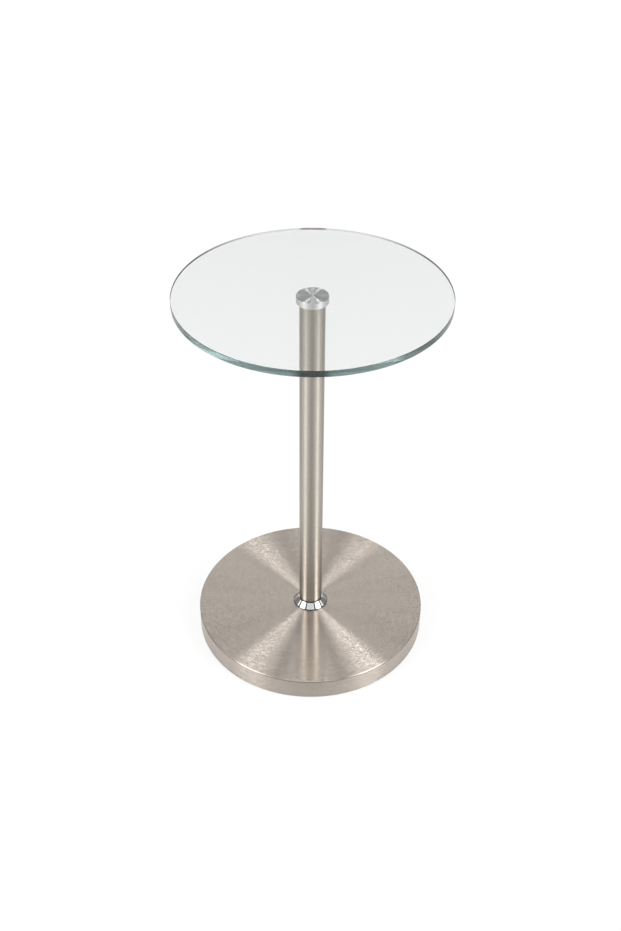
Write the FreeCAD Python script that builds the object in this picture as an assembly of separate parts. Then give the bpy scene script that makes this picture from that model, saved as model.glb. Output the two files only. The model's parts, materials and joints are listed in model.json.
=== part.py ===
import FreeCAD, Part
import math
import os

# A round glass side table: a glass disc bonded to a turned disc, screwed to one upright tube, which a
# bolt from below holds to a weighted round base. Millimetres, +Z up, origin on the floor under the pole.

# Overall sizes
TABLE_HEIGHT = 642.0
BASE_HEIGHT = 38.1
BASE_DIAMETER = 381.0
POLE_DIAMETER = 38.1
GLASS_DIAMETER = 406.4

# Glass top, its glue film and the turned disc under it
GLASS_THICKNESS = 10.0
GLASS_ARRIS = 0.8
BOND_THICKNESS = 0.3
BOND_INSET = 0.5
DISC_DIAMETER = 48.0
DISC_THICKNESS = 10.0
DISC_CHAMFER = 0.4
DISC_SKIN = 2.0

# Pole tube and the threaded plugs in its ends
POLE_WALL = 1.5
POLE_EDGE_BREAK = 0.3
PLUG_CLEARANCE = 0.05
PLUG_CHAMFER = 0.6
TOP_PLUG_LENGTH = 15.0
BOTTOM_PLUG_LENGTH = 20.0

# Screw thread shared by the stud and the bolt
THREAD_DIAMETER = 10.0
THREAD_CLEARANCE = 0.1
THREAD_CHAMFER = 1.0
BOLT_HOLE_CLEARANCE = 0.5

# Stud between the pole and the turned disc
STUD_IN_PLUG = 12.5
STUD_TIP_GAP = 0.5
STUD_SOCKET_ACROSS_FLATS = 5.0
STUD_SOCKET_DEPTH = 5.0

# Plated collar round the foot of the pole
COLLAR_DIAMETER = 56.6
COLLAR_HEIGHT = 10.5
COLLAR_RIM = 1.5
COLLAR_LIP = 0.6
COLLAR_FLOOR = 2.0
COLLAR_CLEARANCE = 0.15

# Sheet cover of the base
SHEET_THICKNESS = 1.0
COVER_EDGE_RADIUS = 2.0
HEM_RADIUS = 1.5
HEM_WIDTH = 7.0

# Ballast and the load plate let into its top
BALLAST_CLEARANCE = 1.5
BALLAST_CHAMFER = 2.0
BALLAST_BORE_CLEARANCE = 1.0
LOAD_PLATE_DIAMETER = 100.0
LOAD_PLATE_THICKNESS = 3.0
LOAD_PLATE_CLEARANCE = 0.5
RECESS_DIAMETER = 60.0
RECESS_DEPTH = 14.0

# Centre bolt and its washers
BOLT_ENGAGEMENT = 14.3
BOLT_HEAD_HEIGHT = 6.4
BOLT_HEAD_ACROSS_FLATS = 17.0
BOLT_HEAD_CHAMFER = 1.2
FLAT_WASHER_DIAMETER = 50.0
FLAT_WASHER_THICKNESS = 3.0
FLAT_WASHER_CHAMFER = 0.5
SPRING_WASHER_DIAMETER = 18.1
SPRING_WASHER_THICKNESS = 2.2
SPRING_WASHER_SLIT = 1.2
WASHER_BORE_CLEARANCE = 0.2

# Bottom plate and the pads that the table stands on
PLATE_THICKNESS = 1.0
PLATE_CLEARANCE = 0.6
PAD_THICKNESS = 2.5
PAD_DIAMETER = 22.0
PAD_INSET = 30.0
PAD_CHAMFER = 0.4
PAD_COUNT = 6

# Heights worked out from the sizes, from the floor up
HEM_BOTTOM = PAD_THICKNESS - SHEET_THICKNESS
PLATE_TOP = PAD_THICKNESS + PLATE_THICKNESS
RECESS_CEILING = PLATE_TOP + RECESS_DEPTH
COVER_UNDERSIDE = BASE_HEIGHT - SHEET_THICKNESS
LOAD_PLATE_BOTTOM = COVER_UNDERSIDE - LOAD_PLATE_THICKNESS
FLAT_WASHER_BOTTOM = RECESS_CEILING - FLAT_WASHER_THICKNESS
SPRING_WASHER_BOTTOM = FLAT_WASHER_BOTTOM - SPRING_WASHER_THICKNESS
BOLT_HEAD_BOTTOM = SPRING_WASHER_BOTTOM - BOLT_HEAD_HEIGHT
COLLAR_TOP = BASE_HEIGHT + COLLAR_HEIGHT
POLE_BOTTOM = BASE_HEIGHT + COLLAR_FLOOR
BOLT_TOP = POLE_BOTTOM + BOLT_ENGAGEMENT
GLASS_BOTTOM = TABLE_HEIGHT - GLASS_THICKNESS
BOND_BOTTOM = GLASS_BOTTOM - BOND_THICKNESS
DISC_BOTTOM = BOND_BOTTOM - DISC_THICKNESS
STUD_HOLE_TOP = BOND_BOTTOM - DISC_SKIN
STUD_TOP = STUD_HOLE_TOP - STUD_TIP_GAP
STUD_BOTTOM = DISC_BOTTOM - STUD_IN_PLUG
POLE_TOP = DISC_BOTTOM

# Radii worked out from the sizes
POLE_RADIUS = POLE_DIAMETER / 2
POLE_BORE_RADIUS = POLE_RADIUS - POLE_WALL
PLUG_RADIUS = POLE_BORE_RADIUS - PLUG_CLEARANCE
THREAD_RADIUS = THREAD_DIAMETER / 2
THREADED_HOLE_RADIUS = THREAD_RADIUS + THREAD_CLEARANCE
BOLT_HOLE_RADIUS = THREAD_RADIUS + BOLT_HOLE_CLEARANCE
WASHER_BORE_RADIUS = THREAD_RADIUS + WASHER_BORE_CLEARANCE
COVER_RADIUS = BASE_DIAMETER / 2
COVER_INNER_RADIUS = COVER_RADIUS - SHEET_THICKNESS
PAD_CIRCLE_RADIUS = COVER_RADIUS - PAD_INSET

# Directions and limits
CENTRE = FreeCAD.Vector(0, 0, 0)
UPRIGHT = FreeCAD.Vector(0, 0, 1)
FULL_TURN = 360.0
HEX_SIDES = 6
MATCH_TOLERANCE = 0.001


def lathe(outline):
    """Turn a closed outline round the upright axis. Its (radius, height) corners may repeat."""
    corners = []
    for radius, height in outline:
        corner = FreeCAD.Vector(radius, 0, height)
        if not corners or corner.distanceToPoint(corners[-1]) > MATCH_TOLERANCE:
            corners.append(corner)
    face = Part.Face(Part.makePolygon(corners + corners[:1]))
    return face.revolve(CENTRE, UPRIGHT, FULL_TURN)


def ring(outer_radius, inner_radius, bottom, top, chamfer=0):
    """Turned ring or washer, with both outer edges chamfered."""
    return lathe([
        (inner_radius, bottom),
        (outer_radius - chamfer, bottom),
        (outer_radius, bottom + chamfer),
        (outer_radius, top - chamfer),
        (outer_radius - chamfer, top),
        (inner_radius, top),
    ])


def disc(radius, bottom, top, bottom_chamfer, top_chamfer):
    """Solid turned disc or rod with a chamfer at each end."""
    return lathe([
        (0, bottom),
        (radius - bottom_chamfer, bottom),
        (radius, bottom + bottom_chamfer),
        (radius, top - top_chamfer),
        (radius - top_chamfer, top),
        (0, top),
    ])


def around(radius, number, count, height):
    """The place of one of a number of points spaced evenly round the axis, from +X on."""
    angle = 2 * math.pi * number / count
    return FreeCAD.Vector(radius * math.cos(angle), radius * math.sin(angle), height)


def corner_radius(across_flats):
    """Distance from the centre of a hexagon to its corners."""
    return across_flats / 2 / math.cos(math.pi / HEX_SIDES)


def hexagon(across_flats, bottom, top):
    """Upright prism on a regular hexagon, centred on the axis."""
    radius = corner_radius(across_flats)
    corners = [around(radius, side, HEX_SIDES, bottom) for side in range(HEX_SIDES)]
    face = Part.Face(Part.makePolygon(corners + corners[:1]))
    return face.extrude(UPRIGHT * (top - bottom))


def round_edges(solid, edge_radius, edge_height, fillet):
    """Fillet the circular edges of a solid that lie at one radius and height."""
    edges = []
    for edge in solid.Edges:
        curve = edge.Curve
        if not isinstance(curve, Part.Circle):
            continue
        same_radius = abs(curve.Radius - edge_radius) < MATCH_TOLERANCE
        same_height = abs(curve.Center.z - edge_height) < MATCH_TOLERANCE
        if same_radius and same_height:
            edges.append(edge)
    return solid.makeFillet(fillet, edges)


def glass_top():
    """Round glass plate with a flat polished edge and a small arris above and below it."""
    return disc(GLASS_DIAMETER / 2, GLASS_BOTTOM, TABLE_HEIGHT, GLASS_ARRIS, GLASS_ARRIS)


def bond_film():
    """Thin clear film of glue between the glass and the turned disc."""
    return disc(DISC_DIAMETER / 2 - BOND_INSET, BOND_BOTTOM, GLASS_BOTTOM, 0, 0)


def glass_disc():
    """Turned disc under the glass, with a blind threaded hole from below."""
    body = disc(DISC_DIAMETER / 2, DISC_BOTTOM, BOND_BOTTOM, DISC_CHAMFER, DISC_CHAMFER)
    hole = disc(THREADED_HOLE_RADIUS, DISC_BOTTOM, STUD_HOLE_TOP, 0, 0)
    return body.cut(hole)


def disc_stud():
    """Headless set screw that stands out of the pole's top plug, with a hexagon socket below."""
    rod = disc(THREAD_RADIUS, STUD_BOTTOM, STUD_TOP, THREAD_CHAMFER, THREAD_CHAMFER)
    socket = hexagon(STUD_SOCKET_ACROSS_FLATS, STUD_BOTTOM, STUD_BOTTOM + STUD_SOCKET_DEPTH)
    return rod.cut(socket)


def pole_tube():
    """Upright tube, with the sharp outer edge of each end broken."""
    return ring(POLE_RADIUS, POLE_BORE_RADIUS, POLE_BOTTOM, POLE_TOP, POLE_EDGE_BREAK)


def pole_plug(bottom, top):
    """Steel slug that closes one end of the pole and carries its screw thread."""
    return ring(PLUG_RADIUS, THREADED_HOLE_RADIUS, bottom, top, PLUG_CHAMFER)


def base_collar():
    """Cone-shaped collar with a socket for the pole and a floor that the bolt clamps."""
    socket_radius = POLE_RADIUS + COLLAR_CLEARANCE
    return lathe([
        (BOLT_HOLE_RADIUS, BASE_HEIGHT),
        (COLLAR_DIAMETER / 2, BASE_HEIGHT),
        (COLLAR_DIAMETER / 2, BASE_HEIGHT + COLLAR_RIM),
        (socket_radius + COLLAR_LIP, COLLAR_TOP),
        (socket_radius, COLLAR_TOP),
        (socket_radius, POLE_BOTTOM),
        (BOLT_HOLE_RADIUS, POLE_BOTTOM),
    ])


def base_cover():
    """Drawn sheet cover: flat top, plain skirt, and a hem turned in under the bottom plate."""
    hem_inner_radius = COVER_RADIUS - HEM_WIDTH
    shell = lathe([
        (BOLT_HOLE_RADIUS, BASE_HEIGHT),
        (COVER_RADIUS, BASE_HEIGHT),
        (COVER_RADIUS, HEM_BOTTOM),
        (hem_inner_radius, HEM_BOTTOM),
        (hem_inner_radius, PAD_THICKNESS),
        (COVER_INNER_RADIUS, PAD_THICKNESS),
        (COVER_INNER_RADIUS, COVER_UNDERSIDE),
        (BOLT_HOLE_RADIUS, COVER_UNDERSIDE),
    ])
    shell = round_edges(shell, COVER_RADIUS, BASE_HEIGHT, COVER_EDGE_RADIUS)
    shell = round_edges(shell, COVER_INNER_RADIUS, COVER_UNDERSIDE, COVER_EDGE_RADIUS - SHEET_THICKNESS)
    shell = round_edges(shell, COVER_RADIUS, HEM_BOTTOM, HEM_RADIUS)
    return round_edges(shell, COVER_INNER_RADIUS, PAD_THICKNESS, HEM_RADIUS - SHEET_THICKNESS)


def load_plate():
    """Steel plate that spreads the bolt's pull under the thin cover."""
    return ring(LOAD_PLATE_DIAMETER / 2, BOLT_HOLE_RADIUS, LOAD_PLATE_BOTTOM, COVER_UNDERSIDE)


def ballast():
    """Cast weight that fills the cover, recessed above for the load plate and below for the bolt."""
    body = ring(COVER_INNER_RADIUS - BALLAST_CLEARANCE, BOLT_HOLE_RADIUS + BALLAST_BORE_CLEARANCE,
                PLATE_TOP, COVER_UNDERSIDE, BALLAST_CHAMFER)
    seat_radius = LOAD_PLATE_DIAMETER / 2 + LOAD_PLATE_CLEARANCE
    seat = disc(seat_radius, LOAD_PLATE_BOTTOM, COVER_UNDERSIDE, 0, 0)
    recess = disc(RECESS_DIAMETER / 2, PLATE_TOP, RECESS_CEILING, 0, 0)
    return body.cut(seat).cut(recess)


def flat_washer():
    """Large flat washer against the ceiling of the ballast's recess."""
    return ring(FLAT_WASHER_DIAMETER / 2, WASHER_BORE_RADIUS, FLAT_WASHER_BOTTOM, RECESS_CEILING,
                FLAT_WASHER_CHAMFER)


def spring_washer():
    """Split lock washer, drawn flat as the tightened bolt holds it."""
    whole = ring(SPRING_WASHER_DIAMETER / 2, WASHER_BORE_RADIUS, SPRING_WASHER_BOTTOM, FLAT_WASHER_BOTTOM)
    corner = FreeCAD.Vector(0, -SPRING_WASHER_SLIT / 2, SPRING_WASHER_BOTTOM)
    slit = Part.makeBox(SPRING_WASHER_DIAMETER, SPRING_WASHER_SLIT, SPRING_WASHER_THICKNESS, corner)
    return whole.cut(slit)


def base_bolt():
    """Hexagon-head bolt from under the base up into the pole's bottom plug."""
    head = hexagon(BOLT_HEAD_ACROSS_FLATS, BOLT_HEAD_BOTTOM, SPRING_WASHER_BOTTOM)
    blank_radius = corner_radius(BOLT_HEAD_ACROSS_FLATS)
    blank = disc(blank_radius, BOLT_HEAD_BOTTOM, SPRING_WASHER_BOTTOM, BOLT_HEAD_CHAMFER, 0)
    head = head.common(blank)
    shank = disc(THREAD_RADIUS, SPRING_WASHER_BOTTOM, BOLT_TOP, 0, THREAD_CHAMFER)
    return head.fuse(shank).removeSplitter()


def bottom_plate():
    """Sheet plate held above the hem, open in the middle for the spanner."""
    return ring(COVER_INNER_RADIUS - PLATE_CLEARANCE, RECESS_DIAMETER / 2, PAD_THICKNESS, PLATE_TOP)


def foot_pad(number):
    """One round pad on the bottom plate, numbered anticlockwise from +X."""
    pad = disc(PAD_DIAMETER / 2, 0, PAD_THICKNESS, PAD_CHAMFER, 0)
    return pad.translated(around(PAD_CIRCLE_RADIUS, number, PAD_COUNT, 0))


def table_pieces():
    """Every piece of the table under its own name."""
    pieces = {
        "glass_top": glass_top(),
        "bond_film": bond_film(),
        "glass_disc": glass_disc(),
        "disc_stud": disc_stud(),
        "pole_top_plug": pole_plug(POLE_TOP - TOP_PLUG_LENGTH, POLE_TOP),
        "pole_tube": pole_tube(),
        "pole_bottom_plug": pole_plug(POLE_BOTTOM, POLE_BOTTOM + BOTTOM_PLUG_LENGTH),
        "base_collar": base_collar(),
        "base_cover": base_cover(),
        "load_plate": load_plate(),
        "ballast": ballast(),
        "flat_washer": flat_washer(),
        "spring_washer": spring_washer(),
        "base_bolt": base_bolt(),
        "bottom_plate": bottom_plate(),
    }
    for number in range(PAD_COUNT):
        pieces[f"foot_pad_{number + 1}"] = foot_pad(number)
    return pieces


def write_pieces():
    """Write each piece to its own file, named after the piece."""
    os.makedirs("parts", exist_ok=True)
    for name, shape in table_pieces().items():
        shape.exportStep(f"parts/{name}.step")
        print(name, "solids", len(shape.Solids), "valid", shape.isValid(), "volume", round(shape.Volume))


write_pieces()
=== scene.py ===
import json
import math
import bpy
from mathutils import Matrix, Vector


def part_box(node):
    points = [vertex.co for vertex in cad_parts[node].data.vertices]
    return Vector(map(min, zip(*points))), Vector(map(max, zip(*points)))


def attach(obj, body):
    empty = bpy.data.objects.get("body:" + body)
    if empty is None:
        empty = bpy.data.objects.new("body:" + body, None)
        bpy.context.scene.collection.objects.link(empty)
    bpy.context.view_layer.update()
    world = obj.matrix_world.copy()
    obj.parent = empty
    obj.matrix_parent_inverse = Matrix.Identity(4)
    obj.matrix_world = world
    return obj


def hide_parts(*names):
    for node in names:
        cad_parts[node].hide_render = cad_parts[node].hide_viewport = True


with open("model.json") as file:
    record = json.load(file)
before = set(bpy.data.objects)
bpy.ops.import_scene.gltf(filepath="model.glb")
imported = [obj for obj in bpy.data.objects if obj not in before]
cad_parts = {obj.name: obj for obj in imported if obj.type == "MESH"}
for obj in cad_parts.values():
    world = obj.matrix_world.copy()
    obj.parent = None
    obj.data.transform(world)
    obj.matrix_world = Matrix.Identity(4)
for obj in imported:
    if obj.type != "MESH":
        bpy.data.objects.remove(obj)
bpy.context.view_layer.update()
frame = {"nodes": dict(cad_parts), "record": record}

from types import SimpleNamespace

import bmesh
import bpy
from mathutils import Matrix, Vector

# Metres, +Z up, the table's own frame: its axis is Z and the floor is at height 0. A place times LEVEL is
# that place without its height.
MM = 0.001
UP = (0, 0, 1)
LEVEL = (1, 1, 0)

# Size of the photograph's frame in pixels
FRAME_WIDTH = 621
FRAME_HEIGHT = 931

# The photograph's camera, looking down at the table from its -Y side
FOCAL_PIXELS = 1219.1
SENSOR_SIDE = 36.0
LOOK_DOWN = math.radians(37.733)
CAMERA_ROLL = math.radians(0.369)
CAMERA_DISTANCE = 1931.2 * MM
AIM = Vector((-1.43 * MM, 0, 330.15 * MM))

# How finely turned pieces are drawn. SUPPORT is how far past a fillet the flat beside it has a ring, and
# MIDDLE_OF_STEP where a vertex on the axis is unwrapped within each step of the turn.
ROUND_STEPS = 256
ARC_STEPS = 5
SUPPORT = 0.25 * MM
MIDDLE_OF_STEP = 0.5

# Glass plate, and the glue film that stands clear of it and of the disc
ARRIS = 0.5 * MM
ARRIS_FILLET = 0.15 * MM
FILM_GAP = 0.01 * MM

# Turned disc
DISC_FILLET = 0.45 * MM
DISC_SKIN = 2.0 * MM
THREADED_HOLE_RADIUS = 5.1 * MM

# Upright tube
TUBE_WALL = 1.5 * MM
TUBE_FILLET = 0.3 * MM

# Collar: its foot is undercut, and its lip stands clear of the tube
BOLT_HOLE_RADIUS = 5.5 * MM
COLLAR_RIM = 2.2 * MM
COLLAR_LIP = 0.5 * MM
COLLAR_GAP = 1.4 * MM
COLLAR_GAP_DEPTH = 2.6 * MM
COLLAR_FLOOR = 2.0 * MM
COLLAR_FIT = 0.15 * MM
COLLAR_FILLET = 0.35 * MM
COLLAR_UNDERCUT = 6.0 * MM
COLLAR_UNDERCUT_HEIGHT = 1.5 * MM

# Drawn cover, with a groove round its skirt just under the top
SHEET = 1.0 * MM
COVER_FILLET = 0.9 * MM
SKIRT_GROOVE_DROP = 1.5 * MM
SKIRT_GROOVE_DEPTH = 0.7 * MM
SKIRT_GROOVE_HEIGHT = 1.0 * MM
HEM_FILLET = 1.4 * MM
HEM_WIDTH = 7.0 * MM

# Metal brushed or turned in rings: fine grooves, broader lines and faint smudges. A noise is mostly within
# NOISE_RANGE.
NICKEL = (0.517, 0.46, 0.408)
TUBE_NICKEL = (0.495, 0.46, 0.405)
ALUMINIUM = (0.84, 0.84, 0.835)
NOISE_RANGE = (0.3, 0.7)
GROOVE_PITCH = 0.14 * MM
LINE_PITCH = 14 * GROOVE_PITCH
LINE_STREAKS_SHARE = 0.5
LINE_DETAIL = 3.0
LINE_TONE = (0.94, 1.06)
SMUDGE_SCALE = 14.0
SMUDGE_DETAIL = 3.0
SMUDGE_TONE = (0.985, 1.015)
SMUDGE_DULL_RANGE = (0.35, 0.75)
ROUGHNESS_SPREAD = (-0.01, 0.01)
UNBRUSHED_SLOPE_SHARE = 0.15
QUARTER_TURN = 0.25
EDGE_BLEND = 0.2 * MM

# Painted shade: dark lines painted into the colour where the tube and the cover meet the collar, for the
# shade in the gap
SHADE_LINE = 1.6 * MM
SHADE_TONE = 0.25

# Mirror-polished plate
WIPED_STREAKS = 1.5
CHROME_WIPE_PITCH = 1.2 * MM
CHROME_WIPE_DETAIL = 3.0
CHROME_WIPE_RANGE = (0.3, 0.8)
CHROME_ROUGHNESS = (0.015, 0.04)
CHROME_HAZE_SCALE = 90.0
CHROME_HAZE_DETAIL = 4.0
CHROME_TONES = ((0.8, 0.8, 0.8), (0.86, 0.86, 0.86))
CHROME_RIPPLE = 0.004 * MM

# Glass with a little dust on it. Per metre it absorbs its density times what each value of its tint lacks
# to 1.
GLASS_INDEX = 1.52
GLASS_TINT = (0.2, 0.425, 0.4)
GLASS_DENSITY = 4.0
DUST_SCALE = 40.0
DUST_DETAIL = 5.0
DUST_RANGE = (0.62, 0.8)
DUST_ROUGHNESS = (0.0, 0.02)

# The glue wets the glass, so its index is taken relative to the glass
GLUE_INDEX = 1.02
GLUE_HAZE_SCALE = 300.0
GLUE_HAZE_DETAIL = 3.0
GLUE_HAZE_RANGE = (0.4, 0.8)
GLUE_TONES = ((0.97, 0.97, 0.97), (1, 1, 1))
GLUE_ROUGHNESS = (0.0, 0.03)

# Plain steel of the hidden pieces
STEEL_RING_DETAIL = 4.0
STEEL_RING_ROUGHNESS = (-0.04, 0.04)
STEEL_RING_DEPTH = 0.01 * MM
STAIN_SCALE = 60.0
STAIN_DETAIL = 5.0
STAIN_RANGE = (0.35, 0.75)
STAIN_TONE = 0.75
STAIN_ROUGHNESS_SHARES = (0.8, 1.2)

# Matte solids: a fine grain of the size given for each, over patches ten times as large
GRAIN_DETAIL = 6.0
GRAIN_ROUGHNESS = 0.6
GRAIN_RANGE = (0.35, 0.65)
GRAIN_SHARE = 0.6
PATCH_SCALE_SHARE = 0.1
PATCH_DETAIL = 4.0
PATCH_SHARE = 0.4
MATTE_ROUGHNESS_SPREAD = 0.08

# Studio: softboxes and dark flags painted on the world by direction. side is the angle about Z from the
# camera's side, rise the height above the horizon, and glint the angle about Z, also from the camera's side,
# at which a light shows on a top that is brushed in rings: all in degrees. LEFT_TO_RIGHT is a range of a unit
# direction's X, and BOXES_END and OVERHEAD_FROM are ranges of its Y. Levels are strengths, where 1 is white.
EYE_RUN = math.cos(LOOK_DOWN)
BACKDROP = 1.0
BACK_LOW = 1.2
BACK_HIGH = 0.7
BACK_RISE = (40.0, 70.0)

# Flags, each as its lowest and highest side, its lowest and highest rise, and its level
SIDE_FLAG = (90.0, 155.0, -8.0, 52.0, 0.22)
BACK_FLAG = (168.0, 200.0, 17.5, 38.0, 0.2)
HIGH_FLAG = (172.0, 200.0, 45.0, 60.0, 0.55)
FLAG_SIDE_SOFT = 5.0
FLAG_RISE_SOFT = 3.0

# The boxes and what stands round them fade out towards the back over BOXES_END
BOXES_END = (0.24, 0.44)
SIDE_BOX_GLINT = (24.2, 37.0)
SIDE_BOX_SOFT = 3.5
SIDE_BOX_RISE = (-5.0, 35.0)
SIDE_BOX_LOW = 4.2
SIDE_BOX_HIGH = 5.8
SIDE_BOX_FADE = (54.0, 74.0)
SIDE_BOX_TOP = 1.9
LEFT_TO_RIGHT = (-0.2, 0.2)
LEFT_SHARE = 0.94
RIGHT_SHARE = 1.08
SHOULDER_GLINT = (18.5, 25.4)
SHOULDER_SOFT = 1.5
SHOULDER = 1.57
OVERHEAD = 2.4
OVERHEAD_EDGE = 1.2
OVERHEAD_GLINT = 14.0
OVERHEAD_SOFT = 2.0
OVERHEAD_FROM = (-0.62, -0.22)
FRONT_MIDDLE = 0.32
FRONT_SIDE = 0.87
FRONT_SIDE_AT = 34.0
FRONT_HIGH = 0.85
FRONT_RISE = (5.0, 45.0)
FRAMES = ((13.6, 18.4), (38.2, 43.8))
FRAME_SOFT = 0.7
FRAME_LEVEL = 0.02
FRAME_RISE = (12.0, 24.0)
FRAME_FADE = (44.0, 60.0)
FRAME_FADE_SHARE = 0.35

# Floor. It glows for the eye, and the share that it scatters carries the table's shadow. Metal sees painted
# shade on it:
# dimmer in front of the table, within a wedge, and behind it, and a painted shadow just round the base.
FLOOR_SIZE = 6.0
FLOOR_COLOUR = (0.8, 0.8, 0.8)
FLOOR_GLOW = 0.8
FLOOR_SCATTER = 0.16
FLOOR_FRONT_LEVEL = 0.41
FLOOR_FRONT_START = (0.1, 0.4)
FLOOR_FRONT_END = (0.92, 1.17)
FLOOR_FRONT_WIDTH = 0.67
FLOOR_LEAST_AHEAD = 0.01
FLOOR_BACK_LEVEL = 0.8
FLOOR_BACK_TO = 0.3
CONTACT_SHADOW_REACH = 3.5 * MM
CONTACT_SHADOW_LEVEL = 0.4

# What shows in the glass's edge, whose light has run through the whole plate, by degrees from straight
# behind, above 0 to the right. The light crosses over on its way, so the edge's left end shows what lies to
# the right.
EDGE_DARK = (3.0, 6.0)
EDGE_DARK_LEVEL = 0.09
EDGE_MIDDLE_LEVEL = 0.7
EDGE_SIDE = 30.0
EDGE_SIDE_LEVEL = 1.5
EDGE_RISING_SHARE = 0.6
EDGE_LEFT_END = (48.0, 56.0)
EDGE_RIGHT_END = (-31.0, -26.0)
EDGE_END_SHARE = 0.32

# Painted shade on the floor for what the far rim throws down to it, by degrees from straight behind, from the
# sides to the front
FAR_RIM = (60.0, 130.0)
FAR_RIM_SIDE_LEVEL = 0.13
FAR_RIM_FRONT_LEVEL = 0.85

# Ray depths are whole numbers, so they are compared with a value between two of them
BETWEEN_DEPTHS = 0.5

# Light that shows green at the glass's edge has been reflected inside the glass some twenty times
BOUNCES = 32


def extent(node):
    """(radius, bottom, top) of a turned node."""
    low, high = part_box(node)
    radius = min(high.x, high.y, -low.x, -low.y)
    return radius, low.z, high.z


# Turned meshes

def rounded_outline(corners):
    """Points of an outline of (radius, height, fillet) corners, and the numbers of its sharp ones."""
    points = []
    sharp = set()
    places = [Vector((radius, height)) for radius, height, fillet in corners]
    for number, (radius, height, fillet) in enumerate(corners):
        here = places[number]
        if fillet == 0 or number in (0, len(corners) - 1):
            sharp.add(len(points))
            points.append(here)
            continue
        before = (places[number - 1] - here).normalized()
        after = (places[number + 1] - here).normalized()
        half = before.angle(after) / 2
        reach = fillet / math.tan(half)
        centre = here + (before + after).normalized() * (fillet / math.sin(half))
        start = here + before * reach - centre
        turn = start.angle_signed(here + after * reach - centre)
        points.append(here + before * (reach + SUPPORT))
        for step in range(ARC_STEPS + 1):
            points.append(centre + Matrix.Rotation(-turn * step / ARC_STEPS, 2) @ start)
        points.append(here + after * (reach + SUPPORT))
    return points, sharp


def ring_at(mesh, point):
    """The vertices of one ring: on the axis, the same one at each step."""
    if point.x == 0:
        return [mesh.verts.new((0, 0, point.y))] * ROUND_STEPS
    ring = []
    for step in range(ROUND_STEPS):
        angle = 2 * math.pi * step / ROUND_STEPS
        ring.append(mesh.verts.new((point.x * math.cos(angle), point.x * math.sin(angle), point.y)))
    return ring


def on_axis(ring):
    """Whether a ring is the one vertex on the axis."""
    return ring[0] is ring[1]


def skin(mesh, rings, shares):
    """Faces from each ring to the next, unwrapped by the turn and by each ring's share of the outline."""
    layer = mesh.loops.layers.uv.new("OFBake")
    for row, (low, high) in enumerate(zip(rings, rings[1:])):
        for step in range(ROUND_STEPS):
            after = (step + 1) % ROUND_STEPS
            spots = {low[step]: (step, row), low[after]: (step + 1, row)}
            spots.update({high[after]: (step + 1, row + 1), high[step]: (step, row + 1)})
            if on_axis(low):
                spots[low[step]] = (step + MIDDLE_OF_STEP, row)
            if on_axis(high):
                spots[high[step]] = (step + MIDDLE_OF_STEP, row + 1)
            face = mesh.faces.new(list(spots))
            face.smooth = True
            for loop in face.loops:
                turn, number = spots[loop.vert]
                loop[layer].uv = (turn / ROUND_STEPS, shares[number])


def crease(mesh, rings, sharp):
    """Mark the edges along the sharp rings."""
    for number in sharp:
        ring = rings[number]
        if on_axis(ring):
            continue
        for step in range(ROUND_STEPS):
            mesh.edges.get((ring[step - 1], ring[step])).smooth = False


def into_scene(mesh, name):
    """An object of the scene that holds a finished bmesh."""
    data = bpy.data.meshes.new(name)
    mesh.to_mesh(data)
    mesh.free()
    piece = bpy.data.objects.new(name, data)
    bpy.context.scene.collection.objects.link(piece)
    return piece


def turned(name, corners, closed=False):
    """A piece turned about the Z axis from an outline of (radius, height, fillet) corners."""
    if closed:
        corners = corners + [corners[0]]
    points, sharp = rounded_outline(corners)
    lengths = [0.0]
    for before, after in zip(points, points[1:]):
        lengths.append(lengths[-1] + (after - before).length)
    mesh = bmesh.new()
    rings = [ring_at(mesh, point) for point in (points[:-1] if closed else points)]
    if closed:
        rings.append(rings[0])
    skin(mesh, rings, [length / lengths[-1] for length in lengths])
    crease(mesh, rings, sharp)
    bmesh.ops.recalc_face_normals(mesh, faces=mesh.faces)
    return into_scene(mesh, name)


# Detailed pieces. Their radii and heights are read from the frame.

def glass_plate():
    """Glass disc with a small arris round both faces."""
    radius, bottom, top = extent("glass_top")
    return turned("glass_plate", [
        (0, bottom, 0),
        (radius - ARRIS, bottom, ARRIS_FILLET),
        (radius, bottom + ARRIS, ARRIS_FILLET),
        (radius, top - ARRIS, ARRIS_FILLET),
        (radius - ARRIS, top, ARRIS_FILLET),
        (0, top, 0),
    ])


def glue_film():
    """Glue film, a hair clear of the glass and the disc so that no two faces lie in one plane."""
    radius, bottom, top = extent("bond_film")
    return turned("glue_film", [
        (0, bottom + FILM_GAP, 0),
        (radius, bottom + FILM_GAP, 0),
        (radius, top - FILM_GAP, 0),
        (0, top - FILM_GAP, 0),
    ])


def turned_disc():
    """Disc under the glass, with rounded edges and its blind threaded hole."""
    radius, bottom, top = extent("glass_disc")
    return turned("turned_disc", [
        (0, top - DISC_SKIN, 0),
        (THREADED_HOLE_RADIUS, top - DISC_SKIN, 0),
        (THREADED_HOLE_RADIUS, bottom, 0),
        (radius, bottom, DISC_FILLET),
        (radius, top, DISC_FILLET),
        (0, top, 0),
    ])


def upright_tube():
    """Pole tube with its outer ends rounded over."""
    radius, bottom, top = extent("pole_tube")
    bore = radius - TUBE_WALL
    return turned("upright_tube", [
        (bore, bottom, 0),
        (radius, bottom, TUBE_FILLET),
        (radius, top, TUBE_FILLET),
        (bore, top, 0),
    ], closed=True)


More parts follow.
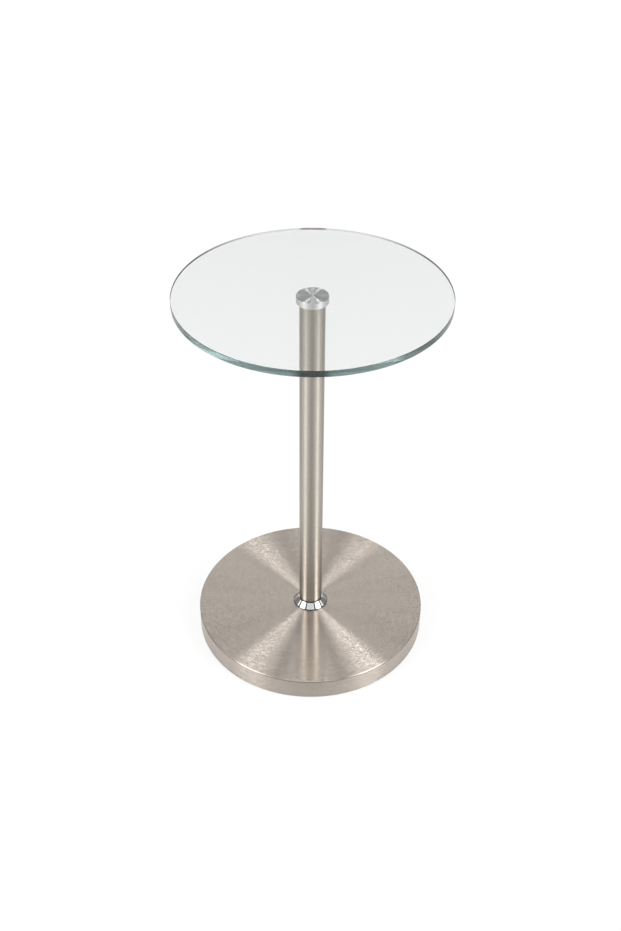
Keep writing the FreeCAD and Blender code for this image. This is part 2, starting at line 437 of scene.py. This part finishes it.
def cone_collar():
    """Cone-shaped collar: undercut foot, low rim, cone, lip, and a gap round the tube down to its socket."""
    radius, bottom, top = extent("base_collar")
    socket = extent("pole_tube")[0] + COLLAR_FIT
    return turned("cone_collar", [
        (BOLT_HOLE_RADIUS, bottom, 0),
        (radius - COLLAR_UNDERCUT, bottom, 0),
        (radius - COLLAR_UNDERCUT, bottom + COLLAR_UNDERCUT_HEIGHT, 0),
        (radius, bottom + COLLAR_UNDERCUT_HEIGHT, COLLAR_FILLET / 2),
        (radius, bottom + COLLAR_RIM, COLLAR_FILLET),
        (socket + COLLAR_GAP + COLLAR_LIP, top, COLLAR_FILLET / 2),
        (socket + COLLAR_GAP, top - COLLAR_LIP, 0),
        (socket + COLLAR_GAP, top - COLLAR_GAP_DEPTH, 0),
        (socket, top - COLLAR_GAP_DEPTH, 0),
        (socket, bottom + COLLAR_FLOOR, 0),
        (BOLT_HOLE_RADIUS, bottom + COLLAR_FLOOR, 0),
    ], closed=True)


def drawn_cover():
    """Sheet cover: top, rolled edge, grooved skirt and the hem turned in at its foot."""
    radius, bottom, top = extent("base_cover")
    inner = radius - SHEET
    groove_floor = radius - SKIRT_GROOVE_DEPTH
    groove_top = top - SKIRT_GROOVE_DROP
    return turned("drawn_cover", [
        (BOLT_HOLE_RADIUS, top, 0),
        (radius, top, COVER_FILLET),
        (radius, groove_top, 0),
        (groove_floor, groove_top, 0),
        (groove_floor, groove_top - SKIRT_GROOVE_HEIGHT, 0),
        (radius, groove_top - SKIRT_GROOVE_HEIGHT, 0),
        (radius, bottom, HEM_FILLET),
        (radius - HEM_WIDTH, bottom, 0),
        (radius - HEM_WIDTH, bottom + SHEET, 0),
        (inner, bottom + SHEET, HEM_FILLET - SHEET),
        (inner, top - SHEET, 0),
        (BOLT_HOLE_RADIUS, top - SHEET, 0),
    ], closed=True)


# Shader nodes

class Nodes:
    """Short calls that build one tree of shader nodes."""

    def __init__(self, tree):
        self.tree = tree
        tree.nodes.clear()

    def add(self, kind, inputs=None, **settings):
        node = self.tree.nodes.new(kind)
        for name, value in settings.items():
            setattr(node, name, value)
        for name, value in (inputs or {}).items():
            self.put(node.inputs[name], value)
        return node

    def put(self, socket, value):
        if isinstance(value, bpy.types.NodeSocket):
            self.tree.links.new(value, socket)
        else:
            socket.default_value = value

    def math(self, operation, first, second=0.0, clamp=False):
        node = self.add("ShaderNodeMath", operation=operation, use_clamp=clamp)
        self.put(node.inputs[0], first)
        self.put(node.inputs[1], second)
        return node.outputs[0]

    def degrees(self, width, run):
        """The angle whose tangent is width over run."""
        return self.math("DEGREES", self.math("ARCTAN2", width, run))

    def vector(self, operation, first, second=(0, 0, 0)):
        node = self.add("ShaderNodeVectorMath", operation=operation)
        self.put(node.inputs[0], first)
        self.put(node.inputs[1], second)
        return node.outputs["Value" if operation in ("LENGTH", "DOT_PRODUCT") else "Vector"]

    def scale(self, vector, factor):
        node = self.add("ShaderNodeVectorMath", operation="SCALE")
        self.put(node.inputs[0], vector)
        self.put(node.inputs["Scale"], factor)
        return node.outputs["Vector"]

    def split(self, vector):
        return list(self.add("ShaderNodeSeparateXYZ", {"Vector": vector}).outputs)

    def remap(self, value, low, high, to_low=0.0, to_high=1.0, kind="LINEAR"):
        node = self.add("ShaderNodeMapRange", interpolation_type=kind)
        for number, item in enumerate((value, low, high, to_low, to_high)):
            self.put(node.inputs[number], item)
        return node.outputs[0]

    def ease(self, value, low, high, to_low=0.0, to_high=1.0):
        return self.remap(value, low, high, to_low, to_high, kind="SMOOTHSTEP")

    def band(self, value, low, high, soft):
        """1 where value lies between low and high, with soft ends."""
        start = self.ease(value, low - soft, low + soft)
        end = self.ease(value, high - soft, high + soft, 1.0, 0.0)
        return self.math("MULTIPLY", start, end)

    def blend(self, share, first, second):
        """Two numbers mixed by share. The node has its sockets for numbers at 2 and 3."""
        node = self.add("ShaderNodeMix", data_type="FLOAT")
        self.put(node.inputs[0], share)
        self.put(node.inputs[2], first)
        self.put(node.inputs[3], second)
        return node.outputs[0]

    def mix(self, share, first, second):
        """Two colours mixed by share. The node has its sockets for colours at 6 and 7."""
        node = self.add("ShaderNodeMix", data_type="RGBA")
        self.put(node.inputs[0], share)
        self.put(node.inputs[6], opaque(first))
        self.put(node.inputs[7], opaque(second))
        return node.outputs[2]

    def noise(self, vector, scale, detail=2.0, roughness=0.5):
        inputs = {"Vector": vector, "Scale": scale, "Detail": detail, "Roughness": roughness}
        return self.add("ShaderNodeTexNoise", inputs).outputs["Fac"]

    def bump(self, height, depth):
        inputs = {"Height": height, "Strength": 1.0, "Distance": depth}
        return self.add("ShaderNodeBump", inputs).outputs[0]


def opaque(rgb):
    """A colour with full alpha."""
    return (*rgb, 1.0)


def new_material(name):
    """A material, its node builder with its output, its Principled shader and the piece's own coordinates."""
    material = bpy.data.materials.new(name)
    material.use_nodes = True
    nodes = Nodes(material.node_tree)
    shader = nodes.add("ShaderNodeBsdfPrincipled")
    nodes.output = nodes.add("ShaderNodeOutputMaterial", {"Surface": shader.outputs[0]})
    place = nodes.add("ShaderNodeTexCoord").outputs["Object"]
    return material, nodes, shader, place


def from_axis(nodes, place):
    """Distance from the Z axis."""
    return nodes.vector("LENGTH", nodes.vector("MULTIPLY", place, LEVEL))


def turned_grain(nodes, place, pitch, streaks, detail=0.0):
    """Noise in rings about the Z axis, pitch wide across them, with about six times streaks in each ring."""
    height = nodes.split(place)[2]
    across = nodes.math("DIVIDE", nodes.math("SUBTRACT", from_axis(nodes, place), height), pitch)
    spoke = nodes.vector("NORMALIZE", nodes.vector("MULTIPLY", place, LEVEL))
    turn_x, turn_y = nodes.split(nodes.vector("MULTIPLY", spoke, (streaks, streaks, 0)))[:2]
    joined = nodes.add("ShaderNodeCombineXYZ", {"X": turn_x, "Y": turn_y, "Z": across})
    return nodes.noise(joined.outputs[0], 1.0, detail=detail)


# Parts of a surface that look unlike the rest of it, and the painted shade where the tube and the cover meet
# the collar

def rolled_edge(nodes, place):
    """1 on the rolled edge between the cover's top and its skirt, which the brush doesn't reach."""
    radius, bottom, top = extent("base_cover")
    edge = radius - COVER_FILLET
    rim = top - COVER_FILLET
    out = nodes.remap(from_axis(nodes, place), edge - EDGE_BLEND, edge + EDGE_BLEND)
    high = nodes.remap(nodes.split(place)[2], rim - EDGE_BLEND, rim + EDGE_BLEND)
    return nodes.math("MULTIPLY", out, high)


def disc_rim(nodes, place):
    """1 on the disc's rim, which is turned coarser than its face."""
    top = extent("glass_disc")[2]
    return nodes.remap(nodes.split(place)[2], top - DISC_FILLET, top - DISC_FILLET / 2, 1.0, 0.0)


def shade_above_collar(nodes, place):
    """Painted shade: a dark line on the tube where it goes down into the collar."""
    top = extent("base_collar")[2]
    return nodes.remap(nodes.split(place)[2], top + SHADE_LINE / 2, top + SHADE_LINE, SHADE_TONE, 1.0)


def shade_round_collar(nodes, place):
    """Painted shade: a dark line on the cover round the collar's foot."""
    radius = extent("base_collar")[0]
    return nodes.remap(from_axis(nodes, place), radius, radius + SHADE_LINE / 2, SHADE_TONE, 1.0)


# Materials

def turned_metal(name, colour, roughness, slope, streaks, apart=None, apart_roughness=None, painted_shade=None):
    """Metal brushed in rings about the Z axis: the slope of its fine grooves spreads its gloss across."""
    material, nodes, shader, place = new_material(name)
    groove = turned_grain(nodes, place, GROOVE_PITCH, streaks)
    line = turned_grain(nodes, place, LINE_PITCH, streaks * LINE_STREAKS_SHARE, detail=LINE_DETAIL)
    smudge = nodes.noise(place, SMUDGE_SCALE, detail=SMUDGE_DETAIL)
    line_tone = nodes.remap(line, *NOISE_RANGE, *LINE_TONE)
    tone = nodes.math("MULTIPLY", line_tone, nodes.remap(smudge, *NOISE_RANGE, *SMUDGE_TONE))
    # Painted shade darkens the colour where the piece meets the collar
    if painted_shade:
        tone = nodes.math("MULTIPLY", tone, painted_shade(nodes, place))
    nodes.put(shader.inputs["Base Color"], nodes.scale(colour, tone))
    shader.inputs["Metallic"].default_value = 1.0
    line_rough = nodes.remap(line, *NOISE_RANGE, *ROUGHNESS_SPREAD)
    rough = nodes.math("ADD", line_rough, nodes.remap(smudge, *SMUDGE_DULL_RANGE, *ROUGHNESS_SPREAD))
    rough = nodes.math("ADD", rough, roughness)
    tilt = nodes.remap(groove, 0.0, 1.0, -slope, slope)
    if apart:
        share = apart(nodes, place)
        rough = nodes.blend(share, rough, apart_roughness)
        tilt = nodes.math("MULTIPLY", tilt, nodes.remap(share, 0.0, 1.0, 1.0, UNBRUSHED_SLOPE_SHARE))
    nodes.put(shader.inputs["Roughness"], rough)
    shader.inputs["Anisotropic"].default_value = 1.0
    shader.inputs["Anisotropic Rotation"].default_value = QUARTER_TURN
    around = nodes.vector("NORMALIZE", nodes.vector("CROSS_PRODUCT", UP, place))
    nodes.put(shader.inputs["Tangent"], around)
    face = nodes.add("ShaderNodeNewGeometry").outputs["Normal"]
    across = nodes.scale(nodes.vector("CROSS_PRODUCT", around, face), tilt)
    nodes.put(shader.inputs["Normal"], nodes.vector("NORMALIZE", nodes.vector("ADD", face, across)))
    return material


def chrome():
    """Mirror-polished plate with faint wipe marks."""
    material, nodes, shader, place = new_material("chrome_plate")
    wipe = turned_grain(nodes, place, CHROME_WIPE_PITCH, WIPED_STREAKS, detail=CHROME_WIPE_DETAIL)
    haze = nodes.noise(place, CHROME_HAZE_SCALE, detail=CHROME_HAZE_DETAIL)
    nodes.put(shader.inputs["Base Color"], nodes.mix(haze, *CHROME_TONES))
    shader.inputs["Metallic"].default_value = 1.0
    nodes.put(shader.inputs["Roughness"], nodes.remap(wipe, *CHROME_WIPE_RANGE, *CHROME_ROUGHNESS))
    nodes.put(shader.inputs["Normal"], nodes.bump(haze, CHROME_RIPPLE))
    return material


def clear_glass():
    """Clear plate glass whose green shows where light runs a long way through it."""
    material, nodes, shader, place = new_material("clear_glass")
    shader.inputs["Base Color"].default_value = (1, 1, 1, 1)
    shader.inputs["Transmission Weight"].default_value = 1.0
    shader.inputs["IOR"].default_value = GLASS_INDEX
    dust = nodes.noise(place, DUST_SCALE, detail=DUST_DETAIL)
    nodes.put(shader.inputs["Roughness"], nodes.remap(dust, *DUST_RANGE, *DUST_ROUGHNESS))
    volume = nodes.add("ShaderNodeVolumeAbsorption")
    volume.inputs["Color"].default_value = opaque(GLASS_TINT)
    volume.inputs["Density"].default_value = GLASS_DENSITY
    nodes.put(nodes.output.inputs["Volume"], volume.outputs[0])
    return material


def clear_glue():
    """Cured clear glue with a trace of haze."""
    material, nodes, shader, place = new_material("clear_glue")
    haze = nodes.noise(place, GLUE_HAZE_SCALE, detail=GLUE_HAZE_DETAIL)
    shader.inputs["Transmission Weight"].default_value = 1.0
    shader.inputs["IOR"].default_value = GLUE_INDEX
    nodes.put(shader.inputs["Base Color"], nodes.mix(haze, *GLUE_TONES))
    nodes.put(shader.inputs["Roughness"], nodes.remap(haze, *GLUE_HAZE_RANGE, *GLUE_ROUGHNESS))
    return material


def plain_metal(name, colour, roughness, pitch):
    """Turned or plated steel on the hidden pieces, with fine rings and some staining."""
    material, nodes, shader, place = new_material(name)
    rings = turned_grain(nodes, place, pitch, WIPED_STREAKS, detail=STEEL_RING_DETAIL)
    stain = nodes.noise(place, STAIN_SCALE, detail=STAIN_DETAIL)
    dark = [share * STAIN_TONE for share in colour]
    nodes.put(shader.inputs["Base Color"], nodes.mix(nodes.remap(stain, *STAIN_RANGE), colour, dark))
    shader.inputs["Metallic"].default_value = 1.0
    least, most = [roughness * share for share in STAIN_ROUGHNESS_SHARES]
    rough = nodes.remap(stain, *NOISE_RANGE, least, most)
    rough = nodes.math("ADD", rough, nodes.remap(rings, *NOISE_RANGE, *STEEL_RING_ROUGHNESS))
    nodes.put(shader.inputs["Roughness"], rough)
    nodes.put(shader.inputs["Normal"], nodes.bump(rings, STEEL_RING_DEPTH))
    return material


def rough_solid(name, light, dark, roughness, grain, depth):
    """Matte surface with speckled colour and a grain of its own scale: cement, paint or rubber."""
    material, nodes, shader, place = new_material(name)
    fine = nodes.noise(place, 1 / grain, detail=GRAIN_DETAIL, roughness=GRAIN_ROUGHNESS)
    broad = nodes.noise(place, PATCH_SCALE_SHARE / grain, detail=PATCH_DETAIL)
    speckle = nodes.remap(fine, *GRAIN_RANGE, 0, GRAIN_SHARE)
    patches = nodes.remap(broad, *NOISE_RANGE, 0, PATCH_SHARE)
    share = nodes.math("ADD", speckle, patches, clamp=True)
    nodes.put(shader.inputs["Base Color"], nodes.mix(share, dark, light))
    least = roughness - MATTE_ROUGHNESS_SPREAD
    most = roughness + MATTE_ROUGHNESS_SPREAD
    nodes.put(shader.inputs["Roughness"], nodes.remap(broad, *NOISE_RANGE, least, most))
    nodes.put(shader.inputs["Normal"], nodes.bump(fine, depth))
    return material


# Light paths

def seen_straight(nodes):
    """1 for what the camera sees directly or through glass, 0 for reflections and bounced light."""
    path = nodes.add("ShaderNodeLightPath")
    through = path.outputs["Is Transmission Ray"]
    straight = nodes.math("ADD", path.outputs["Is Camera Ray"], through, clamp=True)
    turns = nodes.math("ADD", path.outputs["Glossy Depth"], path.outputs["Diffuse Depth"])
    return nodes.math("MULTIPLY", straight, nodes.math("LESS_THAN", turns, BETWEEN_DEPTHS))


def seen_at_all(nodes):
    """1 for what shows to the camera, in metal or through glass, 0 for light scattered by a matt surface."""
    path = nodes.add("ShaderNodeLightPath")
    shown = nodes.math("ADD", path.outputs["Is Camera Ray"], path.outputs["Is Glossy Ray"])
    shown = nodes.math("ADD", shown, path.outputs["Is Transmission Ray"], clamp=True)
    unscattered = nodes.math("LESS_THAN", path.outputs["Diffuse Depth"], BETWEEN_DEPTHS)
    return nodes.math("MULTIPLY", shown, unscattered)


def reflected(nodes, turns=0):
    """1 for light that has been reflected more often than turns."""
    path = nodes.add("ShaderNodeLightPath")
    return nodes.math("GREATER_THAN", path.outputs["Glossy Depth"], turns + BETWEEN_DEPTHS)


def in_glass_edge(nodes, turns=1):
    """1 for light that has been reflected inside the glass more often than turns before it leaves."""
    path = nodes.add("ShaderNodeLightPath")
    return nodes.math("MULTIPLY", reflected(nodes, turns), path.outputs["Is Transmission Ray"])


# Studio: a white floor and backdrop to the eye, with softboxes and dark flags for metal and glass

def edge_level(nodes, across, along):
    """How bright the studio is to light that leaves through the glass's edge, by its way across and along."""
    turn = nodes.degrees(across, along)
    behind = nodes.math("ABSOLUTE", turn)
    level = nodes.remap(behind, EDGE_DARK[1], EDGE_SIDE, EDGE_MIDDLE_LEVEL, EDGE_SIDE_LEVEL)
    level = nodes.math("MULTIPLY", level, nodes.remap(turn, *EDGE_LEFT_END, 1.0, EDGE_END_SHARE))
    level = nodes.math("MULTIPLY", level, nodes.remap(turn, *EDGE_RIGHT_END, EDGE_END_SHARE, 1.0))
    return nodes.blend(nodes.remap(behind, *EDGE_DARK, 1.0, 0.0), level, EDGE_DARK_LEVEL)


def studio_angles(nodes, way):
    """A direction as the studio's values give it, and lit, which is 1 where its boxes can stand."""
    across, along, upward = nodes.split(way)
    width = nodes.math("ABSOLUTE", across)
    return SimpleNamespace(
        across=across,
        along=along,
        side=nodes.degrees(width, nodes.math("MULTIPLY", along, -1.0)),
        rise=nodes.math("DEGREES", nodes.math("ARCSINE", upward)),
        glint=nodes.degrees(width, nodes.math("SUBTRACT", EYE_RUN, along)),
        lit=nodes.ease(along, *BOXES_END, 1.0, 0.0),
    )


def with_flags(nodes, way, level):
    """Add the dark flags at the sides and the back."""
    for side_low, side_high, rise_low, rise_high, flag_level in (SIDE_FLAG, BACK_FLAG, HIGH_FLAG):
        wide = nodes.band(way.side, side_low, side_high, FLAG_SIDE_SOFT)
        tall = nodes.band(way.rise, rise_low, rise_high, FLAG_RISE_SOFT)
        level = nodes.blend(nodes.math("MULTIPLY", wide, tall), level, flag_level)
    return level


def with_side_boxes(nodes, way, level):
    """Add the softboxes at the left and right, each with a dimmer shoulder on its inner side."""
    box = nodes.ease(way.rise, *SIDE_BOX_RISE, SIDE_BOX_LOW, SIDE_BOX_HIGH)
    box = nodes.blend(nodes.remap(way.rise, *SIDE_BOX_FADE), box, SIDE_BOX_TOP)
    box = nodes.math("MULTIPLY", box, nodes.remap(way.across, *LEFT_TO_RIGHT, LEFT_SHARE, RIGHT_SHARE))
    shoulder = nodes.math("MULTIPLY", way.lit, nodes.band(way.glint, *SHOULDER_GLINT, SHOULDER_SOFT))
    level = nodes.blend(shoulder, level, SHOULDER)
    boxes = nodes.math("MULTIPLY", way.lit, nodes.band(way.glint, *SIDE_BOX_GLINT, SIDE_BOX_SOFT))
    return nodes.blend(boxes, level, box)


def with_middle(nodes, way, level):
    """Add what lies between the side boxes: the dim room in front, and the softbox overhead."""
    front = nodes.blend(nodes.remap(way.side, 0.0, FRONT_SIDE_AT), FRONT_MIDDLE, FRONT_SIDE)
    front = nodes.blend(nodes.remap(way.rise, *FRONT_RISE), front, FRONT_HIGH)
    above = nodes.remap(way.glint, 0.0, OVERHEAD_GLINT, OVERHEAD, OVERHEAD_EDGE)
    middle = nodes.blend(nodes.ease(way.along, *OVERHEAD_FROM), front, above)
    ends = (OVERHEAD_GLINT - OVERHEAD_SOFT, OVERHEAD_GLINT + OVERHEAD_SOFT)
    core = nodes.math("MULTIPLY", way.lit, nodes.remap(way.glint, *ends, 1.0, 0.0))
    return nodes.blend(core, level, middle)


def with_frames(nodes, way, level):
    """Add the dark frames along the inner and outer edges of the side boxes."""
    inside = nodes.math("MULTIPLY", nodes.remap(way.rise, *FRAME_RISE), way.lit)
    inside = nodes.math("MULTIPLY", inside, nodes.remap(way.rise, *FRAME_FADE, 1.0, FRAME_FADE_SHARE))
    for low, high in FRAMES:
        edge = nodes.math("MULTIPLY", inside, nodes.band(way.glint, low, high, FRAME_SOFT))
        level = nodes.blend(edge, level, FRAME_LEVEL)
    return level


def studio_level(nodes, direction):
    """How bright the studio is in a direction, as reflections and matt surfaces see it."""
    way = studio_angles(nodes, direction)
    level = nodes.ease(way.rise, *BACK_RISE, BACK_LOW, BACK_HIGH)
    for layer in (with_flags, with_side_boxes, with_middle, with_frames):
        level = layer(nodes, way, level)
    rising = nodes.math("MULTIPLY", edge_level(nodes, way.across, way.along), EDGE_RISING_SHARE)
    return nodes.blend(in_glass_edge(nodes), level, rising)


def studio_world():
    """White backdrop to the eye; the studio's softboxes and flags to everything else."""
    world = bpy.data.worlds.new("studio")
    bpy.context.scene.world = world
    world.use_nodes = True
    nodes = Nodes(world.node_tree)
    direction = nodes.add("ShaderNodeTexCoord").outputs["Generated"]
    level = nodes.blend(seen_straight(nodes), studio_level(nodes, direction), BACKDROP)
    studio = nodes.add("ShaderNodeBackground", {"Strength": level})
    studio.inputs["Color"].default_value = (1, 1, 1, 1)
    nodes.add("ShaderNodeOutputWorld", {"Surface": studio.outputs[0]})


def floor_in_metal(nodes, place):
    """How bright the floor is in metal: painted shade dimmer in front and behind, and a painted shadow just
    round the base.
    """
    across, along = nodes.split(place)[:2]
    # Painted shade on the floor as metal sees it, dimmer in front within a wedge and behind
    ahead = nodes.math("MULTIPLY", along, -1.0)
    front = nodes.ease(ahead, *FLOOR_FRONT_START)
    front = nodes.math("MULTIPLY", front, nodes.ease(ahead, *FLOOR_FRONT_END, 1.0, 0.0))
    run = nodes.math("MAXIMUM", ahead, FLOOR_LEAST_AHEAD)
    spread = nodes.math("DIVIDE", nodes.math("ABSOLUTE", across), run)
    front = nodes.math("MULTIPLY", front, nodes.remap(spread, 0.0, FLOOR_FRONT_WIDTH, 1.0, 0.0))
    # Painted shadow on the floor just round the base
    base = extent("base_cover")[0]
    near = nodes.remap(from_axis(nodes, place), base, base + CONTACT_SHADOW_REACH, CONTACT_SHADOW_LEVEL, 1.0)
    back = nodes.remap(ahead, 0.0, -FLOOR_BACK_TO, 1.0, FLOOR_BACK_LEVEL)
    near_or_behind = nodes.math("MULTIPLY", near, back)
    return nodes.math("MULTIPLY", nodes.blend(front, 1.0, FLOOR_FRONT_LEVEL), near_or_behind)


def floor_tone(nodes, place):
    """How bright the floor is: 1 to the eye, with painted light and shade of its own in metal and in the
    glass's edge.
    """
    across, along = nodes.split(place)[:2]
    past_glass = nodes.math("SUBTRACT", along, extent("glass_top")[0])
    aside = nodes.degrees(nodes.math("ABSOLUTE", across), along)
    rim = nodes.remap(aside, *FAR_RIM, FAR_RIM_SIDE_LEVEL, FAR_RIM_FRONT_LEVEL)
    tone = nodes.blend(in_glass_edge(nodes, turns=0), floor_in_metal(nodes, place), rim)
    tone = nodes.blend(in_glass_edge(nodes), tone, edge_level(nodes, across, past_glass))
    return nodes.blend(reflected(nodes), 1.0, tone)


def pale_floor():
    """Pale floor that shows white with the table's soft shadow, and scatters light as a plain matt one."""
    mesh = bmesh.new()
    bmesh.ops.create_grid(mesh, x_segments=1, y_segments=1, size=FLOOR_SIZE)
    floor = into_scene(mesh, "floor")
    material = bpy.data.materials.new("pale_floor")
    material.use_nodes = True
    nodes = Nodes(material.node_tree)
    tone = floor_tone(nodes, nodes.add("ShaderNodeTexCoord").outputs["Object"])
    matte = nodes.add("ShaderNodeBsdfDiffuse")
    matte.inputs["Color"].default_value = opaque(FLOOR_COLOUR)
    faint = nodes.add("ShaderNodeBsdfDiffuse", {"Color": nodes.math("MULTIPLY", tone, FLOOR_SCATTER)})
    glow = nodes.add("ShaderNodeEmission", {"Strength": nodes.math("MULTIPLY", tone, FLOOR_GLOW)})
    seen = nodes.add("ShaderNodeAddShader")
    nodes.put(seen.inputs[0], faint.outputs[0])
    nodes.put(seen.inputs[1], glow.outputs[0])
    either = nodes.add("ShaderNodeMixShader")
    nodes.put(either.inputs[0], seen_at_all(nodes))
    nodes.put(either.inputs[1], matte.outputs[0])
    nodes.put(either.inputs[2], seen.outputs[0])
    nodes.add("ShaderNodeOutputMaterial", {"Surface": either.outputs[0]})
    floor.data.materials.append(material)


def photo_camera():
    """Camera at the photograph's angle, distance and focal length."""
    data = bpy.data.cameras.new("camera")
    data.sensor_width = SENSOR_SIDE
    data.lens = FOCAL_PIXELS * SENSOR_SIDE / max(FRAME_WIDTH, FRAME_HEIGHT)
    camera = bpy.data.objects.new("camera", data)
    bpy.context.scene.collection.objects.link(camera)
    forward = Vector((0, math.cos(LOOK_DOWN), -math.sin(LOOK_DOWN)))
    upward = Vector((0, math.sin(LOOK_DOWN), math.cos(LOOK_DOWN)))
    level = Vector((1, 0, 0))
    right = level * math.cos(CAMERA_ROLL) + upward * math.sin(CAMERA_ROLL)
    top = upward * math.cos(CAMERA_ROLL) - level * math.sin(CAMERA_ROLL)
    turn = Matrix((right, top, -forward)).transposed().to_4x4()
    camera.matrix_world = Matrix.Translation(AIM - forward * CAMERA_DISTANCE) @ turn
    bpy.context.scene.camera = camera


# The table's finishes, by the record's material slots

materials = {
    "clear_glass": clear_glass(),
    "clear_glue": clear_glue(),
    "turned_aluminium": turned_metal("turned_aluminium", ALUMINIUM, roughness=0.22, slope=1.6, streaks=6.0,
                                     apart=disc_rim, apart_roughness=0.32),
    "brushed_tube": turned_metal("brushed_tube", TUBE_NICKEL, roughness=0.3, slope=0.2, streaks=6.0,
                                 painted_shade=shade_above_collar),
    "chrome_plate": chrome(),
    "brushed_cover": turned_metal("brushed_cover", NICKEL, roughness=0.25, slope=0.7, streaks=24.0,
                                  apart=rolled_edge, apart_roughness=0.27, painted_shade=shade_round_collar),
    "plain_steel": plain_metal("plain_steel", (0.5, 0.5, 0.5), roughness=0.35, pitch=0.4 * MM),
    "zinc_steel": plain_metal("zinc_steel", (0.66, 0.68, 0.7), roughness=0.28, pitch=0.3 * MM),
    "cast_stone": rough_solid("cast_stone", light=(0.5, 0.49, 0.47), dark=(0.3, 0.29, 0.28),
                              roughness=0.85, grain=1.5 * MM, depth=0.25 * MM),
    "black_paint": rough_solid("black_paint", light=(0.035, 0.035, 0.036), dark=(0.022, 0.022, 0.022),
                               roughness=0.5, grain=0.5 * MM, depth=0.03 * MM),
    "pad_rubber": rough_solid("pad_rubber", light=(0.06, 0.06, 0.06), dark=(0.035, 0.035, 0.035),
                              roughness=0.85, grain=0.4 * MM, depth=0.08 * MM),
}
slots = {row["node"]: row["material_slot"] for row in frame["record"]["subparts"]}


def finish(piece, slot):
    """Give a piece the material of its slot alone."""
    piece.data.materials.clear()
    piece.data.materials.append(materials[slot])


def stand_for(piece, node):
    """Put a detailed piece in the place of the CAD node with the same finish."""
    slot = slots[node]
    finish(piece, slot)
    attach(piece, "root")
    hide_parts(node)


for node, piece in frame["nodes"].items():
    finish(piece, slots[node])
stand_for(glass_plate(), "glass_top")
stand_for(glue_film(), "bond_film")
stand_for(turned_disc(), "glass_disc")
stand_for(upright_tube(), "pole_tube")
stand_for(cone_collar(), "base_collar")
stand_for(drawn_cover(), "base_cover")

studio_world()
pale_floor()
photo_camera()
bpy.context.scene.view_settings.view_transform = "Standard"
bpy.context.scene.cycles.max_bounces = BOUNCES
bpy.context.scene.cycles.glossy_bounces = BOUNCES
bpy.context.scene.cycles.transmission_bounces = BOUNCES
